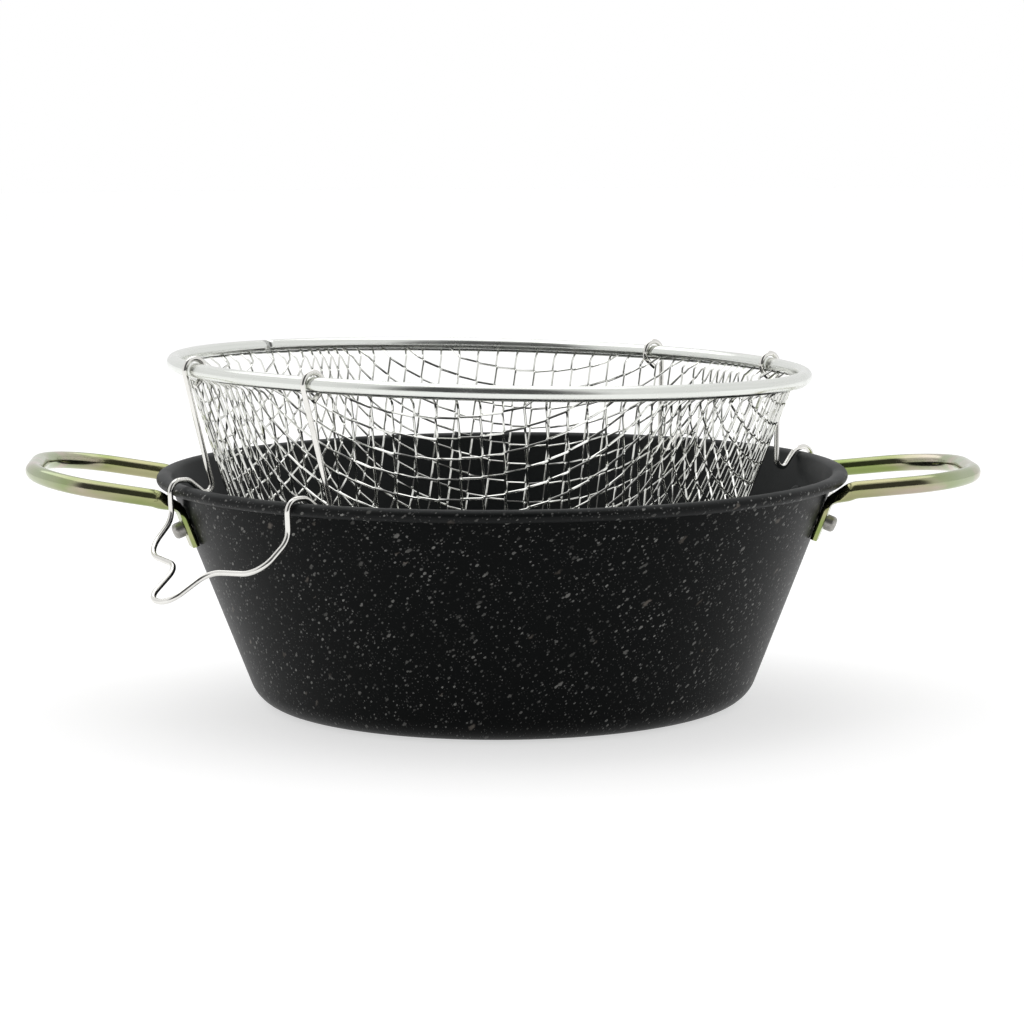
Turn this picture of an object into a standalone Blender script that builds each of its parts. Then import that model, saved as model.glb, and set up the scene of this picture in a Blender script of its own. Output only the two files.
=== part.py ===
"""Deep fry pot with a wire basket hung on its rim to drain.

A pressed and rolled sheet pot carries two loop handles on four rivets. The basket is a net of
linked wires, drawn into a bowl, with its edge held in a split tube. Two bent wire hangers swing
on that tube and hook over the pot's rolled rim. Metres, +Z up, origin under the pot's centre.
"""

from math import asin, atan2, cos, pi, radians, sin, sqrt, tan

import bmesh
import bpy
from mathutils import Matrix, Vector

MM = 0.001
GAP = 0.3 * MM

# Pot: the sheet runs up the wall and rolls outward into a bead
POT_HEIGHT = 95 * MM
RIM_RADIUS = 140 * MM
SHEET = 1.6 * MM
BEAD_WIDTH = 6.4 * MM
BEAD_HEIGHT = 5.0 * MM
BEAD_END = radians(-115)
WALL_ANGLE = radians(21.15)
CORNER_RADIUS = 14.5 * MM
POT_STEPS = 64

# Loop handles
ROD_RADIUS = 3.5 * MM
ROD_OFFSET = 39.5 * MM
TAB_OFFSET = 33 * MM
HANDLE_AZIMUTH = radians(2.2)
LOOP_CORNER = 30 * MM
# Each loop was bent by hand: (x of its tip, tip height, knee height, lift of its back rod)
LEFT_LOOP = (188.4 * MM, 97.3 * MM, 89.1 * MM, 0.6 * MM)
RIGHT_LOOP = (190.3 * MM, 92.8 * MM, 88.7 * MM, -0.3 * MM)
ROD_KNEE = 138.0 * MM
TAB_TOP_HEIGHT = 82.0 * MM
TAB_END_HEIGHT = 69.4 * MM
TAB_THICKNESS = 2.8 * MM
TAB_WIDTH = 10 * MM

# Rivets
RIVET_HEIGHT = 77 * MM
SHANK_RADIUS = 2.4 * MM
TAIL_RADIUS = 3.2 * MM
TAIL_LENGTH = 4.3 * MM
HEAD_RADIUS = 5 * MM
HEAD_DEPTH = 1.6 * MM

# Basket
BASKET_CENTRE = Vector((-4.8 * MM, 0, 136.0 * MM))
BASKET_TILT = (radians(-0.56), radians(1.67))
TUBE_RING_RADIUS = 127.3 * MM
TUBE_RADIUS = 3 * MM
TUBE_SHEET = 0.6 * MM
TUBE_SLOT = 2.4 * MM
TUBE_STEPS = 72
SEAM_AZIMUTH = radians(139.5)
SEAM_GAP = 0.3 * MM
BASKET_DEPTH = 85 * MM
BASKET_ANGLE = radians(19)
BASKET_CORNER = 20 * MM
NET_INSET = 4.5 * MM
ENTRY_ANGLE = radians(50)
NET_STEP = 9.8 * MM
NET_AZIMUTH = radians(-8.0)
NET_EVERY = 2
STRAND = 1.5 * MM

# Hangers: points of half the wire, as (along the chord, outward, up) from the hinge line
HANGER_WIRE = 1.1 * MM
HANGER_HALF_CHORD = 36.4 * MM
CURL_RADIUS = 4.7 * MM
CURL_END = radians(225)
TAIL_STRAIGHT = 4.3 * MM
LEG_LEAN = radians(15.2)
LEFT_HANGER = (radians(222.2), radians(-1.6), 0, 0)
RIGHT_HANGER = (radians(39.5), radians(9.5), 5.7 * MM, 0.15)
HANGER_POINTS = (
    ((36.4, -9.2, -51.4), 2.0),
    ((36.4, 3.6, -42.5), 4.0),
    ((36.4, 12.6, -42.4), 4.7),
    ((36.2, 11.7, -57.4), 7.0),
    ((34.6, 24.4, -69.6), 5.5),
    ((10.0, 29.0, -71.3), 6.0),
    ((6.2, 45.4, -81.5), 6.0),
)

STEEL = (0.75, 0.76, 0.76)


def clear_scene():
    for obj in list(bpy.data.objects):
        bpy.data.objects.remove(obj, do_unlink=True)


def make_collection(name):
    collection = bpy.data.collections.new(name)
    bpy.context.scene.collection.children.link(collection)
    return collection


def make_material(name, colour, metallic, roughness):
    material = bpy.data.materials.new(name)
    material.use_nodes = True
    shader = material.node_tree.nodes["Principled BSDF"]
    shader.inputs["Base Color"].default_value = (*colour, 1)
    shader.inputs["Metallic"].default_value = metallic
    shader.inputs["Roughness"].default_value = roughness
    return material


def add_object(name, data, collection, material=None, parent=None):
    obj = bpy.data.objects.new(name, data)
    collection.objects.link(obj)
    if material:
        data.materials.append(material)
    obj.parent = parent
    return obj


def add_empty(name, collection, matrix, parent=None):
    empty = bpy.data.objects.new(name, None)
    empty.empty_display_size = 0.02
    collection.objects.link(empty)
    empty.parent = parent
    empty.matrix_local = matrix
    return empty


def polyline_mesh(name, points):
    mesh = bpy.data.meshes.new(name)
    edges = [(i, i + 1) for i in range(len(points) - 1)]
    mesh.from_pydata([(r, 0, z) for r, z in points], edges, [])
    return mesh


def arc(centre, radius, start, end, segments):
    """Points of a circular arc in the (r, z) plane, both ends included."""
    return [
        (
            centre[0] + radius * cos(start + (end - start) * i / segments),
            centre[1] + radius * sin(start + (end - start) * i / segments),
        )
        for i in range(segments + 1)
    ]


def turn(obj, steps, angle=2 * pi):
    """Turns an open profile about Z and gives it the sheet's thickness later."""
    screw = obj.modifiers.new("turn", "SCREW")
    screw.angle = angle
    screw.steps = steps
    screw.render_steps = steps
    screw.use_merge_vertices = angle > 6.28
    screw.merge_threshold = 0.00001
    screw.use_smooth_shade = True
    return screw


def thicken(obj, thickness):
    solidify = obj.modifiers.new("sheet", "SOLIDIFY")
    solidify.thickness = thickness
    solidify.offset = 0
    solidify.use_even_offset = True


def cut(obj, cutter):
    boolean = obj.modifiers.new("cut", "BOOLEAN")
    boolean.object = cutter
    boolean.solver = "EXACT"
    boolean.operation = "DIFFERENCE"


def as_mesh(curve_object):
    """Replaces a curve object by a welded mesh object, so that it can be cut."""
    graph = bpy.context.evaluated_depsgraph_get()
    mesh = bpy.data.meshes.new_from_object(curve_object.evaluated_get(graph))
    bm = bmesh.new()
    bm.from_mesh(mesh)
    bmesh.ops.remove_doubles(bm, verts=bm.verts, dist=0.00001)
    bmesh.ops.recalc_face_normals(bm, faces=bm.faces)
    bm.to_mesh(mesh)
    bm.free()
    name = curve_object.name
    collection = curve_object.users_collection[0]
    matrix = curve_object.matrix_world.copy()
    parent = curve_object.parent
    curve = curve_object.data
    bpy.data.objects.remove(curve_object)
    bpy.data.curves.remove(curve)
    obj = bpy.data.objects.new(name, mesh)
    collection.objects.link(obj)
    obj.parent = parent
    obj.matrix_world = matrix
    return obj


def rounded_path(points, radii, spacing):
    """Straight runs joined by arcs: each inner corner of the line gets its own radius."""
    path = [points[0]]
    for before, corner, after, radius in zip(points, points[1:], points[2:], radii):
        back = (before - corner).normalized()
        ahead = (after - corner).normalized()
        bend = pi - back.angle(ahead)
        reach = radius * tan(bend / 2)
        centre = corner + (back + ahead).normalized() * (radius / cos(bend / 2))
        first = corner + back * reach - centre
        last = corner + ahead * reach - centre
        count = max(2, round(radius * bend / spacing))
        for i in range(count + 1):
            share = i / count
            path.append(centre + first.slerp(last, share).normalized() * radius)
    path.append(points[-1])
    return path


def wire(name, path, radius, sides, collection, material, parent=None):
    """A round wire along a path, as a curve with filled ends."""
    curve = bpy.data.curves.new(name, "CURVE")
    curve.dimensions = "3D"
    curve.bevel_depth = radius
    curve.bevel_resolution = sides // 2 - 2
    curve.use_fill_caps = True
    spline = curve.splines.new("POLY")
    spline.points.add(len(path) - 1)
    for point, place in zip(spline.points, path):
        point.co = (*place, 1)
    spline.use_smooth = True
    return add_object(name, curve, collection, material, parent)


def bead_oval():
    """Centre and half axes of the oval that the middle of the sheet follows in the bead."""
    half = SHEET / 2
    centre = (RIM_RADIUS - BEAD_WIDTH / 2, POT_HEIGHT - BEAD_HEIGHT / 2)
    return centre, BEAD_WIDTH / 2 - half, BEAD_HEIGHT / 2 - half


def wall_radius(height):
    """Outer radius of the pot's straight wall, whose middle runs into the bead's oval."""
    centre, across, up = bead_oval()
    reach = sqrt((across * cos(WALL_ANGLE)) ** 2 + (up * sin(WALL_ANGLE)) ** 2)
    off = (reach - SHEET / 2) / cos(WALL_ANGLE)
    return centre[0] - off - tan(WALL_ANGLE) * (centre[1] - height)


def pot_profile():
    """Middle of the pot's sheet, from the rolled rim's edge down to the centre of the base."""
    half = SHEET / 2
    centre, across, up = bead_oval()
    join = pi - atan2(up * sin(WALL_ANGLE), across * cos(WALL_ANGLE))
    circle = arc((0, 0), 1, BEAD_END, join, 10)
    curl = [(centre[0] + across * r, centre[1] + up * z) for r, z in circle]
    corner = (
        wall_radius(CORNER_RADIUS) - CORNER_RADIUS / cos(WALL_ANGLE),
        CORNER_RADIUS,
    )
    foot = arc(corner, CORNER_RADIUS - half, -WALL_ANGLE, -pi / 2, 5)
    return curl + foot + [(corner[0] * 0.55, half), (0, half)]


def on_wall(azimuth, height, off):
    """A point at a distance off the pot's outer wall, and the wall's outward normal there."""
    outward = Vector((cos(azimuth), sin(azimuth), 0))
    normal = outward * cos(WALL_ANGLE) - Vector((0, 0, sin(WALL_ANGLE)))
    return outward * wall_radius(height) + Vector((0, 0, height)) + normal * off, normal


def tab_azimuth():
    return asin(TAB_OFFSET / wall_radius(RIVET_HEIGHT))


def rivet_places():
    """Name, point on the wall and outward normal of each rivet."""
    spread = tab_azimuth()
    for side, middle in (("left", pi), ("right", 0)):
        for end, sign in (("front", -1), ("back", 1)):
            azimuth = middle + sign * spread * (1 if side == "right" else -1)
            azimuth += HANDLE_AZIMUTH
            place, normal = on_wall(azimuth, RIVET_HEIGHT, 0)
            yield f"{side}_handle_{end}_rivet", place, normal


def standing_matrix(place, normal):
    return Matrix.Translation(place) @ normal.to_track_quat("Z", "Y").to_matrix().to_4x4()


def make_drill(cutters):
    """One cutter with a bore for each rivet."""
    bm = bmesh.new()
    for _, place, normal in rivet_places():
        bmesh.ops.create_cone(
            bm,
            cap_ends=True,
            segments=12,
            radius1=SHANK_RADIUS + GAP,
            radius2=SHANK_RADIUS + GAP,
            depth=20 * MM,
            matrix=standing_matrix(place, normal),
        )
    mesh = bpy.data.meshes.new("rivet_drill")
    bm.to_mesh(mesh)
    bm.free()
    drill = add_object("rivet_drill", mesh, cutters)
    drill.hide_render = True
    drill.display_type = "WIRE"
    return drill


def make_pot(parts, drill):
    coating = make_material("speckled coating", (0.035, 0.036, 0.04), 0, 0.5)
    mesh = polyline_mesh("pot_body", pot_profile())
    pot = add_object("pot_body", mesh, parts, coating)
    turn(pot, POT_STEPS)
    thicken(pot, SHEET)
    cut(pot, drill)
    return pot


def handle_path(side):
    """Centre line of one loop, from its front tab to its back tab."""
    off = GAP + TAB_THICKNESS / 2
    half = []
    azimuth = tab_azimuth()
    tip, tip_height, knee_height, back_lift = RIGHT_LOOP if side > 0 else LEFT_LOOP
    for height in (TAB_END_HEIGHT, TAB_TOP_HEIGHT):
        place, _ = on_wall(-azimuth, height, off)
        half.append(place)
    half.append(Vector((ROD_KNEE, -ROD_OFFSET, knee_height)))
    half.append(Vector((tip, -ROD_OFFSET, tip_height)))
    other = [Vector((p.x, -p.y, p.z)) for p in reversed(half)]
    for point in half[2:] + other[:2]:
        point.z += back_lift * (side if point.y > 0 else -side)
    radii = [5 * MM, 5 * MM, LOOP_CORNER, LOOP_CORNER, 5 * MM, 5 * MM]
    path = rounded_path(half + other, radii, 4 * MM)
    if side < 0:
        path = [Vector((-p.x, -p.y, p.z)) for p in path]
    return path


def press_tabs(handle, side):
    """Flattens both ends of the rod against the wall, as a press would."""
    for vertex in handle.data.vertices:
        co = vertex.co
        sign = 1 if co.y > 0 else -1
        azimuth = sign * tab_azimuth() if side > 0 else pi - sign * tab_azimuth()
        foot, normal = on_wall(azimuth, co.z, 0)
        off = (co - foot).dot(normal)
        below = min(1, max(0, (TAB_TOP_HEIGHT + 4.5 * MM - co.z) / (5 * MM)))
        near = min(1, max(0, (12 * MM - off) / (6 * MM)))
        share = below * below * (3 - 2 * below) * near * near * (3 - 2 * near)
        if share == 0:
            continue
        middle = GAP + TAB_THICKNESS / 2
        across = Vector((-sin(azimuth), cos(azimuth), 0))
        aside = (co - foot).dot(across)
        limit = TAB_THICKNESS / 2
        pressed = middle + max(-limit, min(limit, (off - middle) * 0.75))
        widened = aside * TAB_WIDTH / (2 * ROD_RADIUS)
        settled = max(off + (pressed - off) * share, GAP)
        vertex.co = co + normal * (settled - off) + across * (widened - aside) * share


def make_handle(name, side, parts, drill):
    zinc = make_material(name + " zinc", (0.55, 0.5, 0.25), 1, 0.3)
    curve = wire(name, handle_path(side), ROD_RADIUS, 12, parts, zinc)
    handle = as_mesh(curve)
    press_tabs(handle, side)
    handle.data.shade_smooth()
    handle.rotation_euler.z = HANDLE_AZIMUTH
    cut(handle, drill)
    return handle


def rivet_profile():
    """Half section of a rivet from its tail's top, outside, to its head's top, inside the pot."""
    tab = GAP + TAB_THICKNESS + GAP
    inside = -SHEET - 0.5 * MM
    chamfer = 0.5 * MM
    return [
        (0, tab + TAIL_LENGTH),
        (TAIL_RADIUS - chamfer, tab + TAIL_LENGTH),
        (TAIL_RADIUS, tab + TAIL_LENGTH - chamfer),
        (TAIL_RADIUS, tab),
        (SHANK_RADIUS, tab),
        (SHANK_RADIUS, inside),
        (HEAD_RADIUS, inside),
        (HEAD_RADIUS * 0.8, inside - HEAD_DEPTH * 0.7),
        (0, inside - HEAD_DEPTH),
    ]


def make_rivets(parts):
    aluminium = make_material("rivet aluminium", (0.72, 0.72, 0.7), 1, 0.35)
    mesh = polyline_mesh("rivet", rivet_profile())
    mesh.materials.append(aluminium)
    for name, place, normal in rivet_places():
        rivet = add_object(name, mesh, parts)
        rivet.matrix_world = standing_matrix(place, normal)
        turn(rivet, 12)


def basket_wall(distance):
    """(radius, height) of the net's surface at a distance along it from the centre.

    The wall's line passes inside the tube, and the net's last few millimetres lean out to it.
    """
    slope = BASKET_ANGLE
    tangent = BASKET_CORNER * tan((pi / 2 - slope) / 2)
    floor = TUBE_RING_RADIUS - NET_INSET - BASKET_DEPTH * tan(slope) - tangent
    bend = pi / 2 - slope
    if distance <= floor:
        return distance, -BASKET_DEPTH
    along = distance - floor
    if along <= BASKET_CORNER * bend:
        angle = along / BASKET_CORNER
        return (
            floor + BASKET_CORNER * sin(angle),
            -BASKET_DEPTH + BASKET_CORNER * (1 - cos(angle)),
        )
    rest = along - BASKET_CORNER * bend
    radius = floor + BASKET_CORNER * sin(bend)
    height = -BASKET_DEPTH + BASKET_CORNER * (1 - cos(bend))
    return radius + rest * sin(slope), height + rest * cos(slope)


def on_net(distance, azimuth):
    radius, height = basket_wall(distance)
    return Vector((radius * cos(azimuth), radius * sin(azimuth), height))


def next_knot(left, right, guess):
    """The point of the net's surface one step from two knots that lie next to it.

    Damped Newton steps on (distance, azimuth) start from the guess, in the same terms.
    """
    distance, azimuth = guess
    step = 0.1 * MM
    turn_step = step / TUBE_RING_RADIUS
    for _ in range(30):
        here = on_net(distance, azimuth)
        along = on_net(distance + step, azimuth)
        aside = on_net(distance, azimuth + turn_step)
        faults = [(here - knot).length - NET_STEP for knot in (left, right)]
        a, c = [((along - k).length - (here - k).length) / step for k in (left, right)]
        b, d = [((aside - k).length - (here - k).length) / turn_step for k in (left, right)]
        det = a * d - b * c
        further = (d * faults[0] - b * faults[1]) / det
        round_it = (a * faults[1] - c * faults[0]) / det
        distance -= max(-3 * MM, min(3 * MM, further))
        azimuth -= max(-0.05, min(0.05, round_it))
    return distance, azimuth


def net_quarter(count):
    """Knots of a quarter of the net as (distance, azimuth), by warp and weft number.

    The wires can't stretch, so each knot is one step from its two neighbours nearer the
    centre. That turns the square cells of the base into the leaning diamonds of the wall.
    """
    knots = {(0, 0): (0.0, 0.0)}
    for i in range(1, count + 1):
        knots[i, 0] = (i * NET_STEP, 0.0)
        knots[0, i] = (i * NET_STEP, pi / 2)
    for total in range(2, 2 * count + 1):
        for i in range(1, total):
            left, right = knots.get((i - 1, total - i)), knots.get((i, total - i - 1))
            if left is None or right is None or max(i, total - i) > count:
                continue
            if min(left[0], right[0]) > net_reach() + 3 * NET_STEP:
                continue
            last = on_net(*knots[i - 1, total - i - 1])
            across = on_net(*left) + on_net(*right) - last
            guess = (max(left[0], right[0]) + 0.7 * NET_STEP, atan2(across.y, across.x))
            knots[i, total - i] = next_knot(on_net(*left), on_net(*right), guess)
    return knots


def lean_height():
    """Height where the net's wall bends outward, on its way into the tube's slot."""
    return -NET_INSET / (tan(ENTRY_ANGLE) - tan(BASKET_ANGLE))


def net_reach():
    """Distance along the net's surface from its centre to that bend."""
    far = 0.5
    return far + (lean_height() - basket_wall(far)[1]) / cos(BASKET_ANGLE)


def lead_into_tube(net):
    """Cuts the strands at the net's upper bend and leads their ends outward into the tube."""
    bm = bmesh.new()
    bm.from_mesh(net.data)
    bmesh.ops.bisect_plane(
        bm,
        geom=bm.verts[:] + bm.edges[:] + bm.faces[:],
        plane_co=(0, 0, lean_height()),
        plane_no=(0, 0, 1),
        clear_outer=True,
    )
    open_edges = [edge for edge in bm.edges if edge.is_boundary]
    ends = bmesh.ops.holes_fill(bm, edges=open_edges)["faces"]
    for end in bmesh.ops.extrude_discrete_faces(bm, faces=ends)["faces"]:
        middle = end.calc_center_median()
        outward = Vector((middle.x, middle.y, 0))
        lead = outward.normalized() * (TUBE_RING_RADIUS - 0.3 * MM - outward.length)
        lead.z = -0.25 * MM - middle.z
        bmesh.ops.translate(bm, verts=end.verts, vec=lead)
    bmesh.ops.recalc_face_normals(bm, faces=bm.faces)
    bm.to_mesh(net.data)
    bm.free()
    print("net:", len(ends), "strand ends in the tube")


def make_net(parts, frame):
    wire_steel = make_material("net steel", STEEL, 1, 0.25)
    count = int(net_reach() / NET_STEP) + 4
    count += count % NET_EVERY
    quarter = net_quarter(count)
    bm = bmesh.new()
    places = {}
    for turn_number in range(4):
        for (i, j), (distance, azimuth) in quarter.items():
            if i % NET_EVERY or j % NET_EVERY:
                continue
            warp, weft = i, j
            for _ in range(turn_number):
                warp, weft = -weft, warp
            if (warp, weft) not in places:
                co = on_net(distance, azimuth + turn_number * pi / 2 + NET_AZIMUTH)
                places[warp, weft] = bm.verts.new(co)
    step = NET_EVERY
    for (warp, weft), vert in places.items():
        corners = [(warp, weft), (warp + step, weft), (warp + step, weft + step), (warp, weft + step)]
        if all(corner in places for corner in corners):
            bm.faces.new([places[corner] for corner in corners])
    bmesh.ops.delete(bm, geom=[v for v in bm.verts if not v.link_faces], context="VERTS")
    bmesh.ops.bisect_plane(
        bm,
        geom=bm.verts[:] + bm.edges[:] + bm.faces[:],
        plane_co=(0, 0, 4 * MM),
        plane_no=(0, 0, 1),
        dist=0.3 * MM,
        clear_outer=True,
    )
    bmesh.ops.recalc_face_normals(bm, faces=bm.faces)
    gaps = len(bm.faces)
    mesh = bpy.data.meshes.new("basket_mesh")
    bm.to_mesh(mesh)
    bm.free()
    net = add_object("basket_mesh", mesh, parts, wire_steel, frame)
    strands = net.modifiers.new("strands", "WIREFRAME")
    strands.thickness = STRAND
    strands.offset = 0
    strands.use_even_offset = True
    strands.use_boundary = True
    strands.use_replace = True
    graph = bpy.context.evaluated_depsgraph_get()
    net.data = bpy.data.meshes.new_from_object(net.evaluated_get(graph))
    net.modifiers.remove(strands)
    bpy.data.meshes.remove(mesh)
    net.data.name = "basket_mesh"
    lead_into_tube(net)
    print("net:", gaps, "gaps")
    return net


def make_basket_rim(parts, frame):
    """A split tube that is rolled round the net's edge, with its ends butted at a seam."""
    steel = make_material("rim steel", (0.86, 0.87, 0.86), 1, 0.2)
    middle_radius = TUBE_RADIUS - TUBE_SHEET / 2
    half_slot = asin(TUBE_SLOT / 2 / middle_radius)
    down = -pi / 2 - ENTRY_ANGLE
    section = arc((TUBE_RING_RADIUS, 0), middle_radius, down + half_slot, down + 2 * pi - half_slot, 10)
    mesh = polyline_mesh("basket_rim", section)
    rim = add_object("basket_rim", mesh, parts, steel, frame)
    rim.rotation_euler.z = SEAM_AZIMUTH
    turn(rim, TUBE_STEPS, 2 * pi - SEAM_GAP / TUBE_RING_RADIUS)
    thicken(rim, TUBE_SHEET)
    return rim


def hanger_path(shorter, skew):
    """Centre line of a hanger in its hinge's frame: X along the chord, Y outward, Z up."""
    lift = Vector((0, sin(LEG_LEAN), cos(LEG_LEAN))) * shorter
    half = [Vector((HANGER_HALF_CHORD, CURL_RADIUS * cos(LEG_LEAN), -CURL_RADIUS * sin(LEG_LEAN)))]
    half += [Vector(p) * MM + lift for p, _ in HANGER_POINTS]
    other = [Vector((-p.x, p.y, p.z)) for p in reversed(half)]
    radii = [r * MM for _, r in HANGER_POINTS]
    middle = rounded_path(half + other, radii + radii[::-1], 2.2 * MM)
    middle = [Vector((p.x - skew * p.z, p.y, p.z)) for p in middle]
    angles = [CURL_END + (-LEG_LEAN - CURL_END) * i / 11 for i in range(11)]
    curl = [
        Vector((HANGER_HALF_CHORD, CURL_RADIUS * cos(angle), CURL_RADIUS * sin(angle)))
        for angle in angles
    ]
    tail = Vector((0, -sin(CURL_END), cos(CURL_END))) * TAIL_STRAIGHT
    curl = [curl[0] + tail] + curl
    return curl + middle + [Vector((-p.x, p.y, p.z)) for p in reversed(curl)]


def make_hanger(name, place, parts, frame):
    """A hanger on an empty whose X axis is the line through its two curls."""
    azimuth, swing, shorter, skew = place
    outward = sqrt(TUBE_RING_RADIUS**2 - HANGER_HALF_CHORD**2)
    matrix = (
        Matrix.Rotation(azimuth - pi / 2, 4, "Z")
        @ Matrix.Translation((0, outward, 0))
        @ Matrix.Rotation(swing, 4, "X")
    )
    hinge = add_empty(name + "_hinge", parts, matrix, frame)
    bright = make_material(name + " wire", (0.8, 0.8, 0.78), 1, 0.15)
    return wire(name, hanger_path(shorter, skew), HANGER_WIRE, 6, parts, bright, hinge)


def main():
    clear_scene()
    parts = make_collection("deep fry pot with basket")
    cutters = make_collection("cutters")
    drill = make_drill(cutters)
    make_pot(parts, drill)
    make_handle("left_handle", -1, parts, drill)
    make_handle("right_handle", 1, parts, drill)
    make_rivets(parts)
    tilt = Matrix.Rotation(BASKET_TILT[0], 4, "X") @ Matrix.Rotation(BASKET_TILT[1], 4, "Y")
    frame = add_empty("basket_frame", parts, Matrix.Translation(BASKET_CENTRE) @ tilt)
    make_basket_rim(parts, frame)
    make_net(parts, frame)
    make_hanger("left_hanger", LEFT_HANGER, parts, frame)
    make_hanger("right_hanger", RIGHT_HANGER, parts, frame)


main()
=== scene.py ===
# %% [markdown]
# # A deep fry pot with its basket hung up to drain
#
# The real thing is a kitchen pot of pressed sheet steel with a non-stick coating, two zinc plated
# loop handles and four rivets. A net of linked wires sits in it as a frying basket. When the
# food is done, the cook lifts the basket and hooks its two wire hangers over the pot's rim, so
# that the oil drains. This notebook builds that scene piece by piece: sheet metal first, then
# bent rods, then the linked net, and last the light.

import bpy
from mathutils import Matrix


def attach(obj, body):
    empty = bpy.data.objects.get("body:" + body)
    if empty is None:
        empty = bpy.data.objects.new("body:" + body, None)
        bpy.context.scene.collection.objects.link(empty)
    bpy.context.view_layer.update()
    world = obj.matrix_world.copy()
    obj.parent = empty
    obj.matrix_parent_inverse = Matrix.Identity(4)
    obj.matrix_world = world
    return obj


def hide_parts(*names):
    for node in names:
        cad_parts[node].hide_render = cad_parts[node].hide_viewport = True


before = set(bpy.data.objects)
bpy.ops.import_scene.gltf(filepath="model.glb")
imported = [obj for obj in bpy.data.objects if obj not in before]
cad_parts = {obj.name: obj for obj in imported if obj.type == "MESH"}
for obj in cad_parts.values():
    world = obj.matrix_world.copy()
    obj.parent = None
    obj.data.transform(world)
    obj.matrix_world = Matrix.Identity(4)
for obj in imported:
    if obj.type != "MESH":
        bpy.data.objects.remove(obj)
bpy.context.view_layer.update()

# %% [markdown]
# ## Tools that every piece shares
#
# Each piece is drawn in a bmesh, Blender's editable mesh. The sharp edges of sheet and rivets
# keep their crisp look because faces that meet at more than 40° are split when shaded.
#
# Finishes are made of shader nodes. A few helpers keep that short: `noise` is a texture, `ramp`
# maps one range of values to another, and `mixed` blends two colours.

# %% Shared tools
from math import asin, atan2, cos, pi, radians, sin, sqrt, tan

import bmesh
import bpy
from mathutils import Matrix, Vector

MM = 0.001
SHARP = radians(40)


def make_piece(name, bm, body, replaced, slot, *finishes):
    mesh = bpy.data.meshes.new(name)
    bm.to_mesh(mesh)
    bm.free()
    mesh.shade_smooth()
    mesh.set_sharp_from_angle(angle=SHARP)
    piece = bpy.data.objects.new(name, mesh)
    bpy.context.scene.collection.objects.link(piece)
    for finish in finishes:
        mesh.materials.append(finish)
    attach(piece, body)
    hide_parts(replaced)
    print(name, len(mesh.vertices), "vertices")
    return piece


def add_node(material, kind, inputs=None, **settings):
    """Adds a shader node. An input's value is a number, a colour or another node's output."""
    node = material.node_tree.nodes.new("ShaderNode" + kind)
    for key, value in settings.items():
        setattr(node, key, value)
    for socket, value in (inputs or {}).items():
        if isinstance(value, bpy.types.NodeSocket):
            material.node_tree.links.new(value, node.inputs[socket])
        else:
            node.inputs[socket].default_value = value
    return node


def make_finish(name, colour, metallic, roughness, specular=0.5):
    material = bpy.data.materials.new(name)
    material.use_nodes = True
    shader = material.node_tree.nodes["Principled BSDF"]
    shader.inputs["Base Color"].default_value = (*colour, 1)
    shader.inputs["Metallic"].default_value = metallic
    shader.inputs["Roughness"].default_value = roughness
    shader.inputs["Specular IOR Level"].default_value = specular
    return material


def join_to_shader(material, **outputs):
    """Links outputs to the shader's sockets: Base_Color=..., Roughness=..., Normal=..."""
    shader = material.node_tree.nodes["Principled BSDF"]
    for name, output in outputs.items():
        material.node_tree.links.new(output, shader.inputs[name.replace("_", " ")])
    print(material.name + ":", len(material.node_tree.nodes), "shader nodes")


def object_place(material):
    return add_node(material, "TexCoord").outputs["Object"]


def axes_of(material, vector):
    return add_node(material, "SeparateXYZ", {"Vector": vector}).outputs


def length_of(material, vector):
    node = add_node(material, "VectorMath", {0: vector}, operation="LENGTH")
    return node.outputs["Value"]


def noise(material, place, scale, detail):
    node = add_node(material, "TexNoise", {"Vector": place, "Scale": scale, "Detail": detail})
    return node.outputs[0]


def ramp(material, value, start, end, low=0.0, high=1.0, **settings):
    """Runs from low to high while the value runs from start to end."""
    limits = {"From Min": start, "From Max": end, "To Min": low, "To Max": high}
    return add_node(material, "MapRange", {"Value": value, **limits}, **settings).outputs[0]


def math_node(material, operation, first, second=0.0):
    node = add_node(material, "Math", {0: first, 1: second}, operation=operation)
    return node.outputs[0]


def bumped(material, height, depth, strength=1.0):
    node = add_node(material, "Bump", {"Height": height, "Distance": depth, "Strength": strength})
    return node.outputs["Normal"]


def mixed(material, share, first, second):
    """A colour between two colours or colour outputs."""
    node = add_node(material, "Mix", {"Factor": share, 6: first, 7: second}, data_type="RGBA")
    return node.outputs[2]


# %% [markdown]
# ## The speckled coating
#
# The pot's outside is sprayed near-black, and light grey and beige drops are flicked on before
# it is baked. An image would need a photo and would stretch over the wall. Instead the pattern is
# computed: the wall is unrolled in the shader into millimetres round the pot and millimetres up,
# and a Voronoi texture scatters one possible drop in each cell. Its random colour decides which
# cells get a drop, how big it is and how pale. Five layers of different cell size, stretched
# along a slant, give the mix of dust, dots and streaks of the real spray.

# %% Speckled coating
BLACK_COAT = (0.0032, 0.0040, 0.0041)
UNROLL_RADIUS = 125.0
DROP_SLANT = radians(33)
RAGGED_SCALE = 5
RAGGED_SHIFT = 0.28
DROP_EDGE = 0.06


def unrolled(material):
    """The object's surface as (millimetres round the axis, millimetres up), seam at the back."""
    axes = axes_of(material, object_place(material))
    forward = math_node(material, "MULTIPLY", axes["Y"], -1)
    angle = math_node(material, "ARCTAN2", axes["X"], forward)
    around = math_node(material, "MULTIPLY", angle, UNROLL_RADIUS)
    up = math_node(material, "MULTIPLY", axes["Z"], 1 / MM)
    return add_node(material, "CombineXYZ", {"X": around, "Y": up}).outputs[0]


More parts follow.
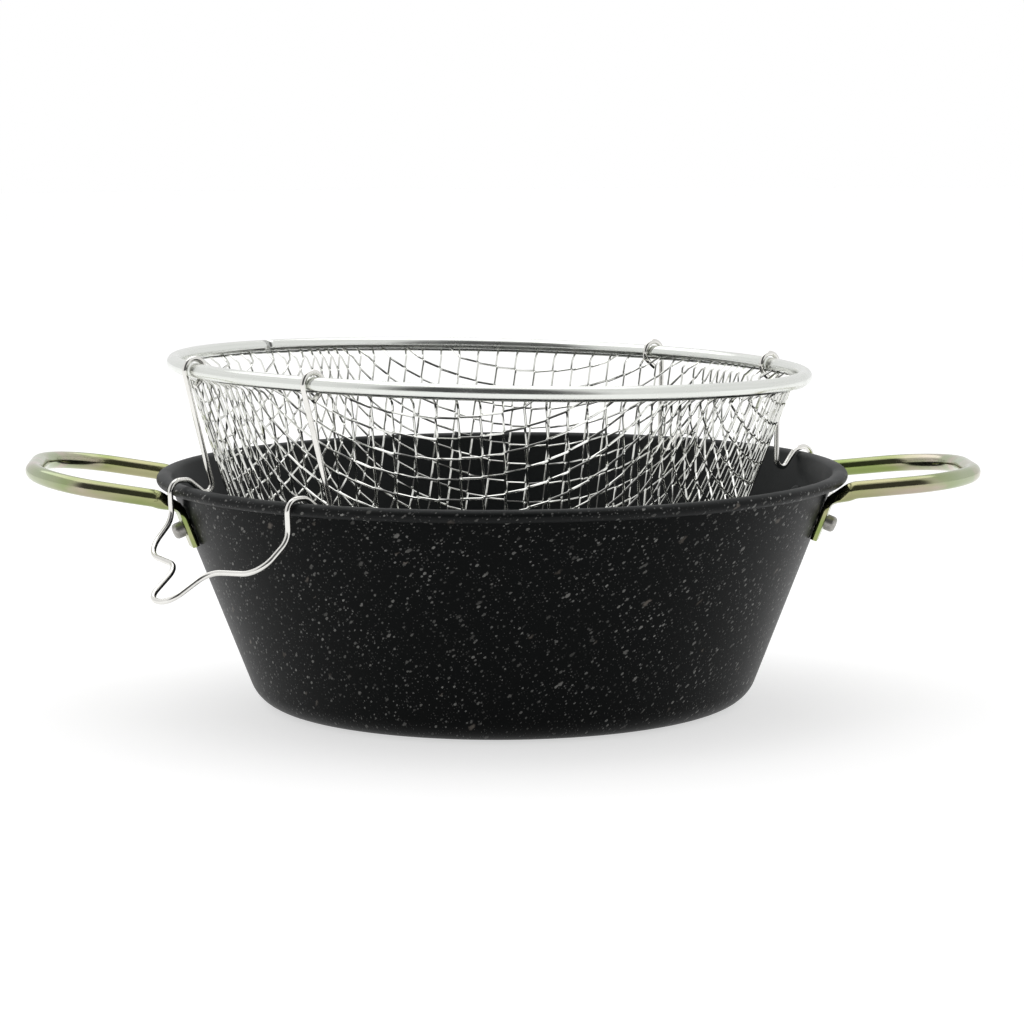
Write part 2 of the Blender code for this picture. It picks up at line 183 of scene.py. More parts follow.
def speck_layer(material, place, cell, largest, share, stretch, seed):
    """A mask of scattered drops and a random tone for each. Sizes are shares of a cell."""
    ragged = add_node(
        material, "TexNoise", {"Vector": place, "Scale": RAGGED_SCALE / cell, "Detail": 3}
    )
    shift = add_node(
        material,
        "VectorMath",
        {0: ragged.outputs["Color"], 1: (cell * RAGGED_SHIFT, cell * RAGGED_SHIFT, 0)},
        operation="MULTIPLY",
    )
    moved = add_node(material, "VectorMath", {0: place, 1: shift.outputs[0]}, operation="ADD")
    slanted = add_node(
        material,
        "Mapping",
        {
            "Vector": moved.outputs[0],
            "Location": (seed, seed, 0),
            "Rotation": (0, 0, DROP_SLANT),
            "Scale": (cell * stretch, cell, 1),
        },
        vector_type="TEXTURE",
    )
    cells = add_node(
        material, "TexVoronoi", {"Vector": slanted.outputs[0], "Scale": 1}, voronoi_dimensions="2D"
    )
    random = add_node(material, "SeparateColor", {"Color": cells.outputs["Color"]}).outputs
    size = ramp(material, random["Red"], 1 - share, 1, 0, largest)
    over = math_node(material, "SUBTRACT", size, cells.outputs["Distance"])
    return ramp(material, over, 0, DROP_EDGE), random["Green"]


DROPS = (
    # cell, largest, share of cells, stretch, seed, darkest tone, palest tone
    (1.1, 0.30, 0.5, 1.1, 3, (0.03, 0.031, 0.031, 1), (0.14, 0.14, 0.135, 1)),
    (1.9, 0.25, 0.55, 1.4, 7, (0.05, 0.051, 0.05, 1), (0.34, 0.34, 0.33, 1)),
    (2.7, 0.22, 0.55, 1.7, 17, (0.07, 0.07, 0.068, 1), (0.42, 0.42, 0.40, 1)),
    (5.0, 0.16, 0.5, 2.0, 11, (0.10, 0.10, 0.095, 1), (0.36, 0.355, 0.34, 1)),
    (9.5, 0.11, 0.4, 2.3, 27, (0.12, 0.105, 0.09, 1), (0.30, 0.27, 0.24, 1)),
)


def with_drops(material, ground, cover):
    """Flicked drops over a ground colour, where the cover is 1 and in drifting clouds."""
    place = unrolled(material)
    clouds = noise(material, place, 0.035, 2)
    cover = math_node(material, "MULTIPLY", cover, ramp(material, clouds, 0.36, 0.6, 0.4, 1))
    for cell, largest, share, stretch, seed, dark_tone, pale_tone in DROPS:
        mask, tone = speck_layer(material, place, cell, largest, share, stretch, seed)
        mask = math_node(material, "MULTIPLY", mask, cover)
        ground = mixed(material, mask, ground, mixed(material, tone, dark_tone, pale_tone))
    return ground


speckled = make_finish("speckled coating", BLACK_COAT, 0, 0.38, 0.06)
orange_peel = noise(speckled, unrolled(speckled), 0.9, 2)
join_to_shader(
    speckled,
    Base_Color=with_drops(speckled, (*BLACK_COAT, 1), 1.0),
    Normal=bumped(speckled, orange_peel, 0.12 * MM, 0.35),
)

# %% [markdown]
# ## The plain coating inside
#
# Inside and over the rolled rim the coating is one dark grey, a little rougher than the outside,
# with the soft grain of a sprayed layer. Noise drives both the grain's bump and a small change of
# roughness, so that the reflections of the light tent break up as they do on the real pot. The
# black spray comes from outside and catches the bead's outer face too. So the grey gives way to
# black and drops where the surface is outside the bead's middle and below its crest.

# %% Plain coating
SPRAY_SIDE = (136.2 * MM, 136.8 * MM)
SPRAY_TOP = (94.5 * MM, 93.8 * MM)

plain_coating = make_finish("plain coating", (0.010, 0.012, 0.012), 0, 0.45, 0.16)
coat_place = object_place(plain_coating)
grain = noise(plain_coating, coat_place, 900, 3)
patches = noise(plain_coating, coat_place, 40, 2)
grey = mixed(plain_coating, grain, (0.007, 0.0085, 0.0088, 1), (0.015, 0.0175, 0.018, 1))

coat_axes = axes_of(plain_coating, coat_place)
round_pot = add_node(plain_coating, "CombineXYZ", {"X": coat_axes["X"], "Y": coat_axes["Y"]})
outside = ramp(plain_coating, length_of(plain_coating, round_pot.outputs[0]), *SPRAY_SIDE)
below_crest = ramp(plain_coating, coat_axes["Z"], *SPRAY_TOP)
sprayed = math_node(plain_coating, "MULTIPLY", outside, below_crest)
ground = mixed(plain_coating, sprayed, grey, (*BLACK_COAT, 1))
join_to_shader(
    plain_coating,
    Base_Color=with_drops(plain_coating, ground, sprayed),
    Roughness=ramp(plain_coating, patches, 0.3, 0.7, 0.42, 0.54),
    Normal=bumped(plain_coating, grain, 0.08 * MM, 0.4),
)

# %% [markdown]
# ## The pot
#
# A press draws the pot from a flat disc, and a roller then curls the edge outward into a bead that
# hides the raw edge and stiffens the rim. In Blender the same form is half a section, spun round
# the axis: a few vertices along the middle of the sheet, joined by edges. `spin` with `use_merge`
# closes the circle. A Solidify modifier gives the sheet its 1.6 mm and puts the second finish on
# its inner side. Because the curl is the same sheet, the plain inside coating runs over the bead
# all by itself, as on the real pot.

# %% Pot section
POT_HEIGHT = 95 * MM
RIM_RADIUS = 140 * MM
SHEET = 1.6 * MM
BEAD_WIDTH = 6.4 * MM
BEAD_HEIGHT = 5.0 * MM
BEAD_END = radians(-115)
WALL_ANGLE = radians(21.15)
CORNER_RADIUS = 14.5 * MM
BASE_RING = 0.55
POT_STEPS = 192


def arc(centre, radius, start, end, segments):
    """Points of a circular arc in the (r, z) plane, both ends included."""
    turns = [start + (end - start) * i / segments for i in range(segments + 1)]
    return [(centre[0] + radius * cos(turn), centre[1] + radius * sin(turn)) for turn in turns]


half_sheet = SHEET / 2
bead_centre = (RIM_RADIUS - BEAD_WIDTH / 2, POT_HEIGHT - BEAD_HEIGHT / 2)
bead_axes = (BEAD_WIDTH / 2 - half_sheet, BEAD_HEIGHT / 2 - half_sheet)


def wall_radius(height):
    """Outer radius of the pot's straight wall, whose middle runs into the bead's oval."""
    reach = sqrt((bead_axes[0] * cos(WALL_ANGLE)) ** 2 + (bead_axes[1] * sin(WALL_ANGLE)) ** 2)
    off = (reach - half_sheet) / cos(WALL_ANGLE)
    return bead_centre[0] - off - tan(WALL_ANGLE) * (bead_centre[1] - height)


def spun(section, steps, angle=2 * pi):
    """A bmesh of an open section in the XZ plane, spun about Z."""
    bm = bmesh.new()
    verts = [bm.verts.new((r, 0, z)) for r, z in section]
    edges = [bm.edges.new(pair) for pair in zip(verts, verts[1:])]
    full = angle == 2 * pi
    bmesh.ops.spin(
        bm, geom=verts + edges, axis=(0, 0, 1), angle=angle, steps=steps, use_merge=full
    )
    bmesh.ops.remove_doubles(bm, verts=bm.verts, dist=0.01 * MM)
    bmesh.ops.recalc_face_normals(bm, faces=bm.faces)
    return bm


join = pi - atan2(bead_axes[1] * sin(WALL_ANGLE), bead_axes[0] * cos(WALL_ANGLE))
curl = [
    (bead_centre[0] + bead_axes[0] * r, bead_centre[1] + bead_axes[1] * z)
    for r, z in arc((0, 0), 1, BEAD_END, join, 24)
]
foot_centre = (wall_radius(CORNER_RADIUS) - CORNER_RADIUS / cos(WALL_ANGLE), CORNER_RADIUS)
foot = arc(foot_centre, CORNER_RADIUS - half_sheet, -WALL_ANGLE, -pi / 2, 12)
pot_section = curl + foot + [(foot_centre[0] * BASE_RING, half_sheet), (0, half_sheet)]
print("pot section:", len(pot_section), "points, flat base radius", round(foot_centre[0] / MM, 1))

# %% Pot body
pot_mesh = spun(pot_section, POT_STEPS)
pot_mesh.faces.ensure_lookup_table()
lowest = min(pot_mesh.faces, key=lambda face: face.calc_center_median().z)
if lowest.normal.z > 0:
    bmesh.ops.reverse_faces(pot_mesh, faces=pot_mesh.faces)
pot = make_piece("pot", pot_mesh, "pot", "pot_body", "coating", speckled, plain_coating)
sheet = pot.modifiers.new("sheet", "SOLIDIFY")
sheet.thickness = SHEET
sheet.offset = 0
sheet.use_even_offset = True
sheet.material_offset = 1
sheet.material_offset_rim = 1

# %% [markdown]
# ## Yellow zinc on the handles
#
# The loops are plain steel rod, zinc plated and then dipped in a yellow chromate bath. The thin
# film shimmers from olive to green to pink, and its colour depends on its thickness. A film that
# changes with the view would break in other renderers, so two noises mix the three tints instead,
# over a smooth metal. They are stretched along the rods, because the bath ran off that way. The
# pink keeps off the wall, and towards the tips the film is mixed paler.

# %% Yellow zinc
STREAK_SCALE = (16, 90, 90)
PINK_SHIFT = (3.3, 7.7, 1.1)
OFF_WALL = (142 * MM, 166 * MM)
PALE_TIPS = (164 * MM, 184 * MM)
PALEST_TIPS = 0.75

yellow_zinc = make_finish("yellow zinc", (0.46, 0.46, 0.22), 1, 0.14)
zinc_place = object_place(yellow_zinc)
streaks = add_node(yellow_zinc, "Mapping", {"Vector": zinc_place, "Scale": STREAK_SCALE})
pink_place = add_node(
    yellow_zinc, "Mapping", {"Vector": streaks.outputs[0], "Location": PINK_SHIFT}
)
green_share = ramp(yellow_zinc, noise(yellow_zinc, streaks.outputs[0], 1, 2), 0.4, 0.62)
pink_share = ramp(yellow_zinc, noise(yellow_zinc, pink_place.outputs[0], 1, 3), 0.46, 0.68)
from_middle = math_node(yellow_zinc, "ABSOLUTE", axes_of(yellow_zinc, zinc_place)["X"])
off_wall = ramp(yellow_zinc, from_middle, *OFF_WALL)
# The film turns paler towards the tips of the loops.
paler_tips = ramp(yellow_zinc, from_middle, *PALE_TIPS, 0, PALEST_TIPS)

film = mixed(yellow_zinc, green_share, (0.38, 0.37, 0.20, 1), (0.26, 0.325, 0.11, 1))
pink_cover = math_node(yellow_zinc, "MULTIPLY", pink_share, off_wall)
film = mixed(yellow_zinc, pink_cover, film, (0.52, 0.43, 0.37, 1))
pale_film = mixed(yellow_zinc, pink_share, (0.48, 0.53, 0.40, 1), (0.62, 0.52, 0.48, 1))
film = mixed(yellow_zinc, paler_tips, film, pale_film)

fine_grain = noise(yellow_zinc, zinc_place, 700, 2)
join_to_shader(
    yellow_zinc,
    Base_Color=film,
    Roughness=ramp(yellow_zinc, fine_grain, 0.3, 0.7, 0.10, 0.19),
    Normal=bumped(yellow_zinc, fine_grain, 0.03 * MM, 0.15),
)

# %% [markdown]
# ## Bending rod and wire
#
# Handles, hangers and the net are all round wire on a path. A curve with a bevel would do, but a
# circle carried along the path by `extrude_edge_only` shows what a sweep is. Each new ring is the
# last one, turned by the bend and moved on. The path itself is drawn as a bender would think of
# it: straight runs, and a radius at each corner.

# %% Sweep tools
BEND_SPACING = 0.8 * MM


def rounded_path(points, radii):
    """Straight runs joined by arcs: each inner corner of the line gets its own radius."""
    path = [points[0]]
    for before, corner, after, radius in zip(points, points[1:], points[2:], radii):
        back = (before - corner).normalized()
        ahead = (after - corner).normalized()
        bend = pi - back.angle(ahead)
        reach = radius * tan(bend / 2)
        centre = corner + (back + ahead).normalized() * (radius / cos(bend / 2))
        first = corner + back * reach - centre
        last = corner + ahead * reach - centre
        count = max(3, round(radius * bend / BEND_SPACING))
        for i in range(count + 1):
            path.append(centre + first.slerp(last, i / count).normalized() * radius)
    path.append(points[-1])
    return path


def swept(path, radius, sides):
    """A bmesh of a round wire: a circle is extruded and carried from point to point."""
    bm = bmesh.new()
    heading = (path[1] - path[0]).normalized()
    start = Matrix.Translation(path[0]) @ heading.to_track_quat("Z", "Y").to_matrix().to_4x4()
    ring = bmesh.ops.create_circle(bm, cap_ends=True, segments=sides, radius=radius, matrix=start)
    edges = ring["verts"][0].link_faces[0].edges[:]
    for i in range(1, len(path)):
        after = path[min(i + 1, len(path) - 1)]
        new_heading = (after - path[i - 1]).normalized()
        grown = bmesh.ops.extrude_edge_only(bm, edges=edges)["geom"]
        verts = {item for item in grown if isinstance(item, bmesh.types.BMVert)}
        edges = [
            item
            for item in grown
            if isinstance(item, bmesh.types.BMEdge) and verts.issuperset(item.verts)
        ]
        turn = heading.rotation_difference(new_heading).to_matrix().to_4x4()
        carry = Matrix.Translation(path[i]) @ turn @ Matrix.Translation(-path[i - 1])
        bmesh.ops.transform(bm, matrix=carry, verts=list(verts))
        heading = new_heading
    bmesh.ops.contextual_create(bm, geom=edges)
    bmesh.ops.recalc_face_normals(bm, faces=bm.faces)
    return bm


# %% [markdown]
# ## The loop handles
#
# Each handle is one 7 mm rod. It runs out from the wall, turns through two wide corners and comes
# back, and both ends are bent down along the wall and pressed flat, so that a rivet can hold them.
# The sweep gives the rod. The press is a move of its vertices: below the bend, each one is pulled
# towards the wall and spread sideways, more and more over the first 5 mm.

# %% Loop handles
GAP = 0.3 * MM
ROD_RADIUS = 3.5 * MM
ROD_OFFSET = 39.5 * MM
ROD_SPACING = 1.5 * MM
ROD_SIDES = 28
TAB_OFFSET = 33 * MM
HANDLE_AZIMUTH = radians(2.2)
LOOP_CORNER = 30 * MM
LOOPS = {
    # x of the tip, tip height, knee height, lift of the rod on the +Y side before the half turn
    "left": (188.4 * MM, 97.3 * MM, 89.1 * MM, -0.6 * MM),
    "right": (190.3 * MM, 92.8 * MM, 88.7 * MM, -0.3 * MM),
}
ROD_KNEE = 138.0 * MM
TAB_TOP_HEIGHT = 82.0 * MM
TAB_END_HEIGHT = 69.4 * MM
TAB_THICKNESS = 2.8 * MM
TAB_WIDTH = 10 * MM
TAB_BEND = 5 * MM
PRESS_ABOVE = 4.5 * MM
PRESS_RUN = 5 * MM
PRESS_REACH = 12 * MM
PRESS_FADE = 6 * MM
PRESS_SQUEEZE = 0.75
RIVET_HEIGHT = 77 * MM


def on_wall(azimuth, height, off):
    """A point at a distance off the pot's outer wall, and the wall's outward normal there."""
    outward = Vector((cos(azimuth), sin(azimuth), 0))
    normal = outward * cos(WALL_ANGLE) - Vector((0, 0, sin(WALL_ANGLE)))
    return outward * wall_radius(height) + Vector((0, 0, height)) + normal * off, normal


tab_azimuth = asin(TAB_OFFSET / wall_radius(RIVET_HEIGHT))


def loop_path(tip, tip_height, knee_height, lift):
    off = GAP + TAB_THICKNESS / 2
    half = [on_wall(-tab_azimuth, height, off)[0] for height in (TAB_END_HEIGHT, TAB_TOP_HEIGHT)]
    half.append(Vector((ROD_KNEE, -ROD_OFFSET, knee_height)))
    half.append(Vector((tip, -ROD_OFFSET, tip_height)))
    other = [Vector((p.x, -p.y, p.z)) for p in reversed(half)]
    for point in half[2:] + other[:2]:
        point.z += lift if point.y > 0 else -lift
    bends = [TAB_BEND, TAB_BEND, LOOP_CORNER]
    corners = rounded_path(half + other, bends + bends[::-1])
    path = [corners[0]]
    for before, after in zip(corners, corners[1:]):
        count = max(1, round((after - before).length / ROD_SPACING))
        path += [before.lerp(after, i / count) for i in range(1, count + 1)]
    return path


def press_tabs(bm):
    """Flattens both ends of the rod against the wall."""
    for vertex in bm.verts:
        azimuth = tab_azimuth if vertex.co.y > 0 else -tab_azimuth
        foot_point, normal = on_wall(azimuth, vertex.co.z, 0)
        off = (vertex.co - foot_point).dot(normal)
        below = min(1, max(0, (TAB_TOP_HEIGHT + PRESS_ABOVE - vertex.co.z) / PRESS_RUN))
        near = min(1, max(0, (PRESS_REACH - off) / PRESS_FADE))
        share = below * below * (3 - 2 * below) * near * near * (3 - 2 * near)
        middle = GAP + TAB_THICKNESS / 2
        across = Vector((-sin(azimuth), cos(azimuth), 0))
        aside = (vertex.co - foot_point).dot(across)
        squeezed = (off - middle) * PRESS_SQUEEZE
        pressed = middle + max(-TAB_THICKNESS / 2, min(TAB_THICKNESS / 2, squeezed))
        settled = max(off + (pressed - off) * share, GAP)
        widened = aside * TAB_WIDTH / (2 * ROD_RADIUS)
        vertex.co += normal * (settled - off) + across * (widened - aside) * share


for side, half_turn in (("left", pi), ("right", 0)):
    loop = swept(loop_path(*LOOPS[side]), ROD_RADIUS, ROD_SIDES)
    press_tabs(loop)
    spin = Matrix.Rotation(HANDLE_AZIMUTH + half_turn, 3, "Z")
    bmesh.ops.rotate(loop, verts=loop.verts, matrix=spin)
    make_piece(
        side + "_loop_handle", loop, "pot", side + "_handle", "passivated_steel", yellow_zinc
    )

# %% [markdown]
# ## Rivets
#
# A rivet is a round bar with a head inside the pot, coated like the wall round it. Its tail sticks
# out of the tab and is only lightly upset, so it still looks like a short stub with a round edge.
# In effect it is turned on a lathe: half a section spun round its own axis, then stood on the
# slanting wall.

# %% Rivet aluminium
dull_aluminium = make_finish("rivet aluminium", (0.5, 0.49, 0.47), 1, 0.42)
rivet_grain = noise(dull_aluminium, object_place(dull_aluminium), 600, 4)
join_to_shader(
    dull_aluminium,
    Base_Color=mixed(dull_aluminium, rivet_grain, (0.24, 0.23, 0.21, 1), (0.58, 0.57, 0.54, 1)),
    Normal=bumped(dull_aluminium, rivet_grain, 0.1 * MM, 0.4),
)

# %% Rivets
SHANK_RADIUS = 2.4 * MM
TAIL_RADIUS = 3.2 * MM
TAIL_LENGTH = 4.3 * MM
HEAD_RADIUS = 5 * MM
HEAD_DEPTH = 1.6 * MM
HEAD_GAP = 0.5 * MM
TAIL_EDGE = 1.7 * MM
TAIL_DOME = 0.15 * MM
RIVET_STEPS = 40

tab_face = GAP + TAB_THICKNESS + GAP
inner_face = -SHEET - HEAD_GAP
edge_centre = (TAIL_RADIUS - TAIL_EDGE, tab_face + TAIL_LENGTH - TAIL_EDGE - TAIL_DOME)
tail_edge = arc(edge_centre, TAIL_EDGE, pi / 2, 0, 8)
head_dome = [
    (HEAD_RADIUS * sin(turn), inner_face - HEAD_DEPTH * cos(turn))
    for turn in [pi / 2 * (1 - i / 8) for i in range(9)]
]
rivet_section = (
    [(0, tab_face + TAIL_LENGTH)]
    + tail_edge
    + [(TAIL_RADIUS, tab_face), (SHANK_RADIUS, tab_face), (SHANK_RADIUS, inner_face)]
    + head_dome
)
for side, middle in (("left", pi), ("right", 0)):
    for end, sign in (("front", -1), ("back", 1)):
        swing = sign * tab_azimuth * (1 if side == "right" else -1)
        spot, outward = on_wall(middle + swing + HANDLE_AZIMUTH, RIVET_HEIGHT, 0)
        stand = Matrix.Translation(spot) @ outward.to_track_quat("Z", "Y").to_matrix().to_4x4()
        rivet = spun(rivet_section, RIVET_STEPS)
        for face in rivet.faces:
            face.material_index = face.calc_center_median().z < inner_face
        bmesh.ops.transform(rivet, matrix=stand, verts=rivet.verts)
        node_name = f"{side}_handle_{end}_rivet"
        make_piece(
            node_name + "_turned", rivet, "pot", node_name, "rivet_aluminium",
            dull_aluminium, plain_coating,
        )

# %% [markdown]
# ## Bright plate
#
# Rim, net and hangers are bright plated steel. A mirror-smooth metal would look like plastic
# chrome here. The rim was rolled from strip, so it has fine lines that run along the tube: noise
# that is stretched far along the tube and fine across it, in bump and in colour. The lines follow
# the tube, so their place is measured from the basket's centre, tilted as the basket is. The wires
# were drawn through a die and are smoother and slightly warmer.

# %% Bright plate
BASKET_CENTRE = Vector((-4.8, 0, 136.0)) * MM
BASKET_TILT = (radians(-0.56), radians(1.67))
LINES_ALONG = 2.2
LINES_ACROSS = 1800

basket_place = (
    Matrix.Translation(BASKET_CENTRE)
    @ Matrix.Rotation(BASKET_TILT[0], 4, "X")
    @ Matrix.Rotation(BASKET_TILT[1], 4, "Y")
)

rolled_plate = make_finish("rolled bright plate", (0.80, 0.82, 0.78), 1, 0.22)
ring_place = add_node(
    rolled_plate,
    "Mapping",
    {
        "Vector": object_place(rolled_plate),
        "Location": BASKET_CENTRE,
        "Rotation": (BASKET_TILT[0], BASKET_TILT[1], 0),
    },
    vector_type="TEXTURE",
)
ring_axes = axes_of(rolled_plate, ring_place.outputs[0])
ring_angle = math_node(rolled_plate, "ARCTAN2", ring_axes["Y"], ring_axes["X"])
in_ring = add_node(rolled_plate, "CombineXYZ", {"X": ring_axes["X"], "Y": ring_axes["Y"]})
ring_radius = length_of(rolled_plate, in_ring.outputs[0])
along_tube = add_node(
    rolled_plate,
    "CombineXYZ",
    {
        "X": math_node(rolled_plate, "MULTIPLY", ring_angle, LINES_ALONG),
        "Y": math_node(rolled_plate, "MULTIPLY", ring_radius, LINES_ACROSS),
        "Z": math_node(rolled_plate, "MULTIPLY", ring_axes["Z"], LINES_ACROSS),
    },
)
roll_lines = noise(rolled_plate, along_tube.outputs[0], 1, 3)
wear = noise(rolled_plate, object_place(rolled_plate), 55, 3)
join_to_shader(
    rolled_plate,
    Base_Color=mixed(rolled_plate, roll_lines, (0.74, 0.76, 0.72, 1), (0.86, 0.875, 0.84, 1)),
    Roughness=ramp(rolled_plate, wear, 0.35, 0.65, 0.16, 0.30),
    Normal=bumped(rolled_plate, roll_lines, 0.05 * MM, 0.25),
)


def drawn_wire(name, dark, pale, roughness):
    material = make_finish(name, pale, 1, roughness)
    tint = noise(material, object_place(material), 120, 3)
    join_to_shader(material, Base_Color=mixed(material, tint, (*dark, 1), (*pale, 1)))
    return material


net_wire_finish = drawn_wire("net wire", (0.66, 0.67, 0.64), (0.93, 0.93, 0.89), 0.12)
hanger_finish = drawn_wire("hanger wire", (0.72, 0.71, 0.68), (0.93, 0.92, 0.88), 0.13)

# %% [markdown]
# ## The basket's rim
#
# A strip is rolled into an almost closed tube and bent round the net's edge, which it grips
# between its two lips, low on the inner side. The two ends meet in a butt seam at the back left.
# So the section is an open circle, spun not quite all the way round, and Solidify gives it a wall
# of 0.6 mm.

# %% Basket rim
TUBE_RING_RADIUS = 127.3 * MM
TUBE_RADIUS = 3 * MM
TUBE_SHEET = 0.6 * MM
TUBE_SLOT = 1.4 * MM
SLOT_TURN = radians(-126)
SEAM_AZIMUTH = radians(139.5)
SEAM_GAP = 0.6 * MM
RIM_STEPS = 256

tube_middle = TUBE_RADIUS - TUBE_SHEET / 2
half_slot = asin(TUBE_SLOT / 2 / tube_middle)
tube_section = arc(
    (TUBE_RING_RADIUS, 0), tube_middle, SLOT_TURN + half_slot, SLOT_TURN + 2 * pi - half_slot, 24
)
rim = spun(tube_section, RIM_STEPS, 2 * pi - SEAM_GAP / TUBE_RING_RADIUS)
top_face = max(rim.faces, key=lambda face: face.calc_center_median().z)
if top_face.normal.z < 0:
    bmesh.ops.reverse_faces(rim, faces=rim.faces)
bmesh.ops.transform(
    rim, matrix=basket_place @ Matrix.Rotation(SEAM_AZIMUTH, 4, "Z"), verts=rim.verts
)
rim_tube = make_piece("rim_tube", rim, "basket", "basket_rim", "plated_sheet", rolled_plate)
tube_wall = rim_tube.modifiers.new("wall", "SOLIDIFY")
tube_wall.thickness = TUBE_SHEET
tube_wall.offset = 0
tube_wall.use_even_offset = True

# %% [markdown]
# ## The net
#
# The net was linked flat, with square cells, and then pushed into a bowl. Its wires can't
# stretch, so only the angles between them change: the cells stay square at the bottom and
# become leaning diamonds on the wall. That is a Chebyshev net, and it can be laid knot by knot.
# Each knot lies one step from two neighbours that are already placed, on the bowl's surface. A few
# Newton steps find it.

# %% The bowl's surface
BASKET_DEPTH = 85 * MM
BASKET_CORNER = 20 * MM
BASKET_ANGLE = radians(19)
ENTRY_ANGLE = radians(50)
NET_INSET = 4.5 * MM
FAR_UP = 0.5


def basket_wall(distance):
    """(radius, height) of the net's surface at a distance along it from the centre."""
    bend = pi / 2 - BASKET_ANGLE
    floor_radius = TUBE_RING_RADIUS - NET_INSET - BASKET_DEPTH * tan(BASKET_ANGLE)
    floor_radius -= BASKET_CORNER * tan(bend / 2)
    if distance <= floor_radius:
        return distance, -BASKET_DEPTH
    along = distance - floor_radius
    if along <= BASKET_CORNER * bend:
        angle = along / BASKET_CORNER
        return (
            floor_radius + BASKET_CORNER * sin(angle),
            BASKET_CORNER * (1 - cos(angle)) - BASKET_DEPTH,
        )
    rest = along - BASKET_CORNER * bend
    radius = floor_radius + BASKET_CORNER * sin(bend)
    height = BASKET_CORNER * (1 - cos(bend)) - BASKET_DEPTH
    return radius + rest * sin(BASKET_ANGLE), height + rest * cos(BASKET_ANGLE)


def on_net(distance, azimuth):
    radius, height = basket_wall(distance)
    return Vector((radius * cos(azimuth), radius * sin(azimuth), height))


# The upper bend lies where the wall's line meets the line that leads into the tube. Its distance
# along the net is counted back from a place far up the straight wall.
lean_height = -NET_INSET / (tan(ENTRY_ANGLE) - tan(BASKET_ANGLE))
net_reach = FAR_UP + (lean_height - basket_wall(FAR_UP)[1]) / cos(BASKET_ANGLE)
print("from the net's centre to its upper bend:", round(net_reach / MM, 1), "mm")

# %% Knots
NET_STEP = 8.43 * MM
NET_AZIMUTH = radians(-9.4)
NEWTON_STEPS = 30
NUDGE = 0.1 * MM
TURN_NUDGE = NUDGE / TUBE_RING_RADIUS
LONGEST_MOVE = 3 * MM
WIDEST_TURN = 0.05


def next_knot(left, right, guess):
    """(distance, azimuth) one step from two knots. Damped Newton steps start from the guess."""
    distance, azimuth = guess
    for _ in range(NEWTON_STEPS):
        here = on_net(distance, azimuth)
        along = on_net(distance + NUDGE, azimuth)
        aside = on_net(distance, azimuth + TURN_NUDGE)
        faults = [(here - knot).length - NET_STEP for knot in (left, right)]
        a, c = [((along - k).length - (here - k).length) / NUDGE for k in (left, right)]
        b, d = [((aside - k).length - (here - k).length) / TURN_NUDGE for k in (left, right)]
        det = a * d - b * c
        move = (d * faults[0] - b * faults[1]) / det
        turn = (a * faults[1] - c * faults[0]) / det
        distance -= max(-LONGEST_MOVE, min(LONGEST_MOVE, move))
        azimuth -= max(-WIDEST_TURN, min(WIDEST_TURN, turn))
    return distance, azimuth


def net_quarter(count):
    """Knots of a quarter of the net as (distance, azimuth), by warp and weft number."""
    knots = {(0, 0): (0.0, 0.0)}
    for i in range(1, count + 1):
        knots[i, 0] = (i * NET_STEP, 0.0)
        knots[0, i] = (i * NET_STEP, pi / 2)
    for total in range(2, 2 * count + 1):
        for i in range(1, total):
            left, right = knots.get((i - 1, total - i)), knots.get((i, total - i - 1))
            if left is None or right is None or max(i, total - i) > count:
                continue
            if min(left[0], right[0]) > net_reach + 3 * NET_STEP:
                continue
            last = on_net(*knots[i - 1, total - i - 1])
            across = on_net(*left) + on_net(*right) - last
            guess = (max(left[0], right[0]) + 0.7 * NET_STEP, atan2(across.y, across.x))
            knots[i, total - i] = next_knot(on_net(*left), on_net(*right), guess)
    return knots


knots = {}
for turns in range(4):
    for (warp, weft), (distance, azimuth) in net_quarter(int(net_reach / NET_STEP) + 4).items():
        for _ in range(turns):
            warp, weft = -weft, warp
        knots[warp, weft] = (distance, azimuth + turns * pi / 2 + NET_AZIMUTH)
print("knots:", len(knots))

# %% [markdown]
# ### Hooked wires
#
# The net isn't woven. Like a chain-link fence it is made of zigzag wires: each one runs one link
# across, turns a corner, runs one link down, and so on like a staircase, and its corners hook
# into the corners of the next wire. So two wires meet at each knot. One comes along the front and
# turns down at the back, the other comes down at the back and turns out to the front. Each corner
# reaches a little past the knot, so that the two bends hold each other. The links run straight
# from corner to corner, and so they lean a little. The bend itself is a short curve with three
# control points, as in a drawing program. Just under the rim every wire bends outward, into the
# slot of the tube that grips it.

# %% Net wires
WIRE_RADIUS = 0.46 * MM
WIRE_SIDES = 6
LINK_LIFT = 0.5 * MM
BEND_REACH = 1.1 * MM
BEND_HOLD = 0.02 * MM
BEND_STEPS = 5
SHORTEST_PIECE = 6
LEAST_RISE = 0.3
MOST_ASIDE = 0.9
TUBE_ENTRY = 0.4 * MM
TUBE_DROP = 1.2 * MM


def net_normal(key):
    distance, azimuth = knots[key]
    along = on_net(distance + MM, azimuth) - on_net(distance, azimuth)
    return along.cross(Vector((-sin(azimuth), cos(azimuth), 0))).normalized()


def corner_point(before, key, after):
    """Where two links of a zigzag wire would meet if its bend were sharp: just past the knot."""
    here = on_net(*knots[key])
    arriving = (here - on_net(*knots[before])).normalized()
    leaving = (on_net(*knots[after]) - here).normalized()
    turn = arriving - leaving
    return here + turn.normalized() * (BEND_HOLD + BEND_REACH * turn.length / 4)


